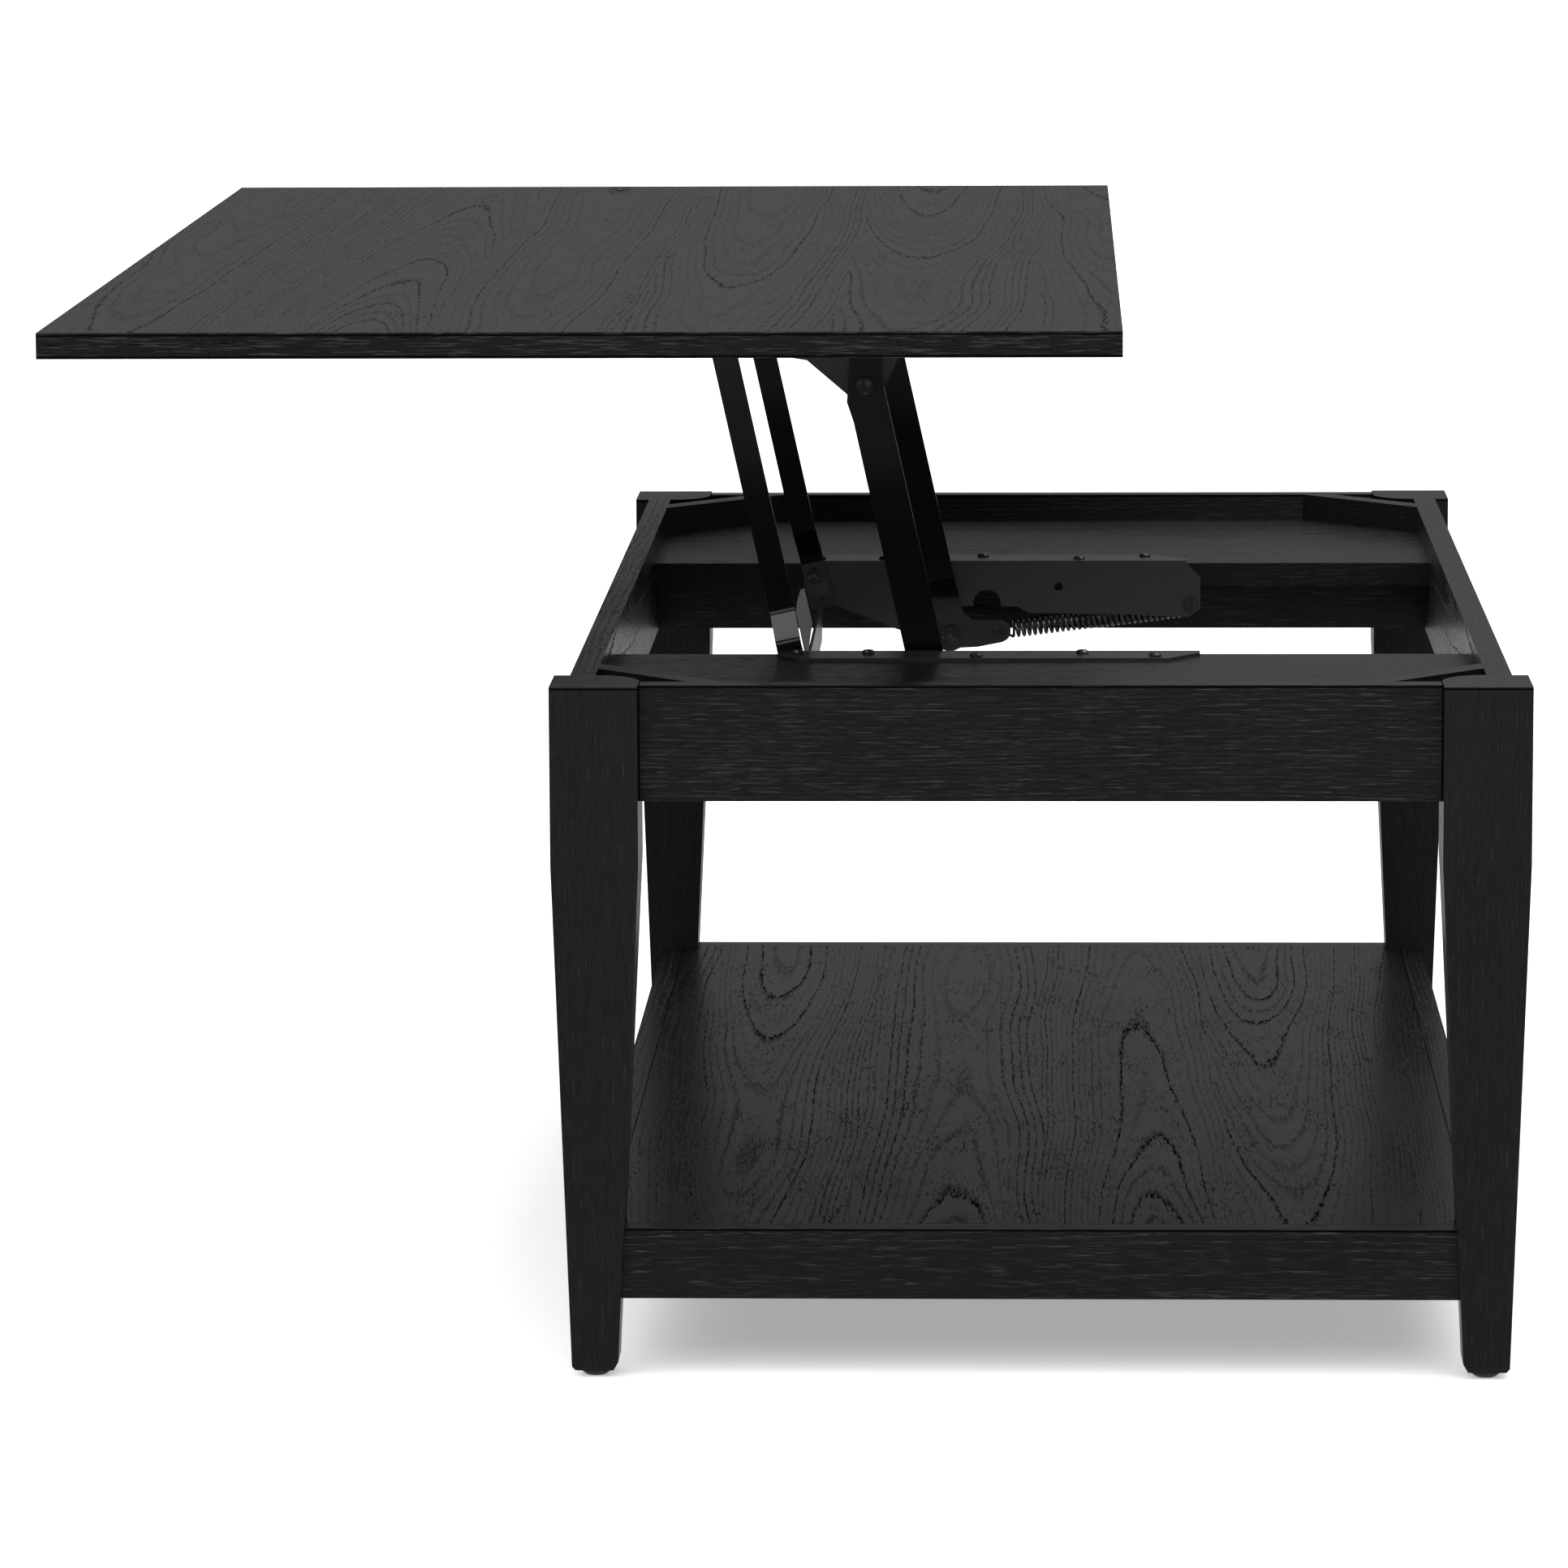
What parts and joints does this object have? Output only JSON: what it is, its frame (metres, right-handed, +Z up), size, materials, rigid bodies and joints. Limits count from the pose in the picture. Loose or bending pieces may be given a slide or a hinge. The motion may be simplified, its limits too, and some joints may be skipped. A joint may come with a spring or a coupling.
{
  "type": "lift top coffee table",
  "caption": "Coffee table with a lower shelf, whose whole top rises and swings over the user's side on a pair of sprung parallel arm lifts.",
  "frame": {"origin": "centre of the four foot glides, on the floor, under the middle of the base", "axes": "-X towards the user, who the lid comes to as it rises; Y along the table; +Z up"},
  "size_m": [0.9166, 1.18, 0.6685],
  "materials": {
    "oak_frame": "black stained open pore oak veneer, satin",
    "oak_panel": "black stained open pore oak veneer, satin",
    "black_steel": "gloss black enamel on pressed steel",
    "fasteners": "black zinc plated",
    "spring_steel": "oiled black spring wire",
    "glide_plastic": "matte",
    "bumper_rubber": "matte"
  },
  "bodies": {
    "frame": {"leg_front_right": "oak_frame", "leg_front_left": "oak_frame", "leg_back_right": "oak_frame", "leg_back_left": "oak_frame", "end_apron_right": "oak_frame", "end_apron_left": "oak_frame", "front_apron": "oak_frame", "back_apron": "oak_frame", "brace_front_right": "oak_frame", "brace_front_left": "oak_frame", "brace_back_right": "oak_frame", "brace_back_left": "oak_frame", "mechanism_board_right": "oak_frame", "mechanism_board_left": "oak_frame", "cross_rail_right": "oak_frame", "cross_rail_left": "oak_frame", "lower_end_rail_right": "oak_frame", "lower_end_rail_left": "oak_frame", "lower_front_rail": "oak_frame", "lower_back_rail": "oak_frame", "shelf_panel": "oak_panel", "shelf_cleat_front": "oak_frame", "shelf_cleat_back": "oak_frame", "foot_glides": "glide_plastic", "hanger_bolts": "fasteners", "hanger_nuts": "fasteners", "base_plate_right": "black_steel", "base_plate_left": "black_steel", "base_plate_screws": "fasteners", "narrow_lower_pins": "fasteners", "wide_lower_pins": "fasteners", "spring_anchors": "fasteners", "open_stops": "fasteners"},
    "springs": {"spring_right": "spring_steel", "spring_left": "spring_steel"},
    "spring_hooks": {"spring_hook_right": "spring_steel", "spring_hook_left": "spring_steel"},
    "wide_arms": {"wide_arm_right": "black_steel", "wide_arm_left": "black_steel", "spring_pins": "fasteners"},
    "narrow_arms": {"narrow_arm_right": "black_steel", "narrow_arm_left": "black_steel", "crossbar": "black_steel"},
    "lid": {"lid_panel": "oak_panel", "upper_bracket_right": "black_steel", "upper_bracket_left": "black_steel", "upper_bracket_screws": "fasteners", "narrow_upper_pins": "fasteners", "wide_upper_pins": "fasteners", "lid_bumpers": "bumper_rubber"}
  },
  "joints": [
    {"name": "lift", "type": "hinge", "parent": "frame", "child": "wide_arms", "pos_m": [-0.0657, 0, 0.3718], "axis": [0, 1, 0], "range_deg": [0, 98.12], "deforming": ["spring_right", "spring_left", "spring_hook_right", "spring_hook_left"]},
    {"name": "spring_swing", "type": "hinge", "parent": "frame", "child": "springs", "pos_m": [0.1076, 0, 0.3932], "axis": [0, 1, 0], "range_deg": [-9.94, 0]},
    {"name": "spring_stretch", "type": "slide", "parent": "springs", "child": "spring_hooks", "axis": [-0.9902, 0, -0.1398], "range_m": [0, 0.04668]},
    {"name": "narrow_swing", "type": "hinge", "parent": "frame", "child": "narrow_arms", "pos_m": [-0.1627, 0, 0.4141], "axis": [0, 1, 0], "range_deg": [0, 98.12]},
    {"name": "lid_level", "type": "hinge", "parent": "wide_arms", "child": "lid", "pos_m": [-0.1153, 0, 0.59813], "axis": [0, 1, 0], "range_deg": [-98.12, 0]}
  ],
  "couplings": [
    {"joint": "narrow_swing", "follows": "lift", "ratio": 1},
    {"joint": "lid_level", "follows": "lift", "ratio": -1},
    {"joint": "spring_swing", "follows": "lift", "ratio": -0.10127},
    {"joint": "spring_stretch", "follows": "lift", "m_per_rad": 0.027257}
  ]
}
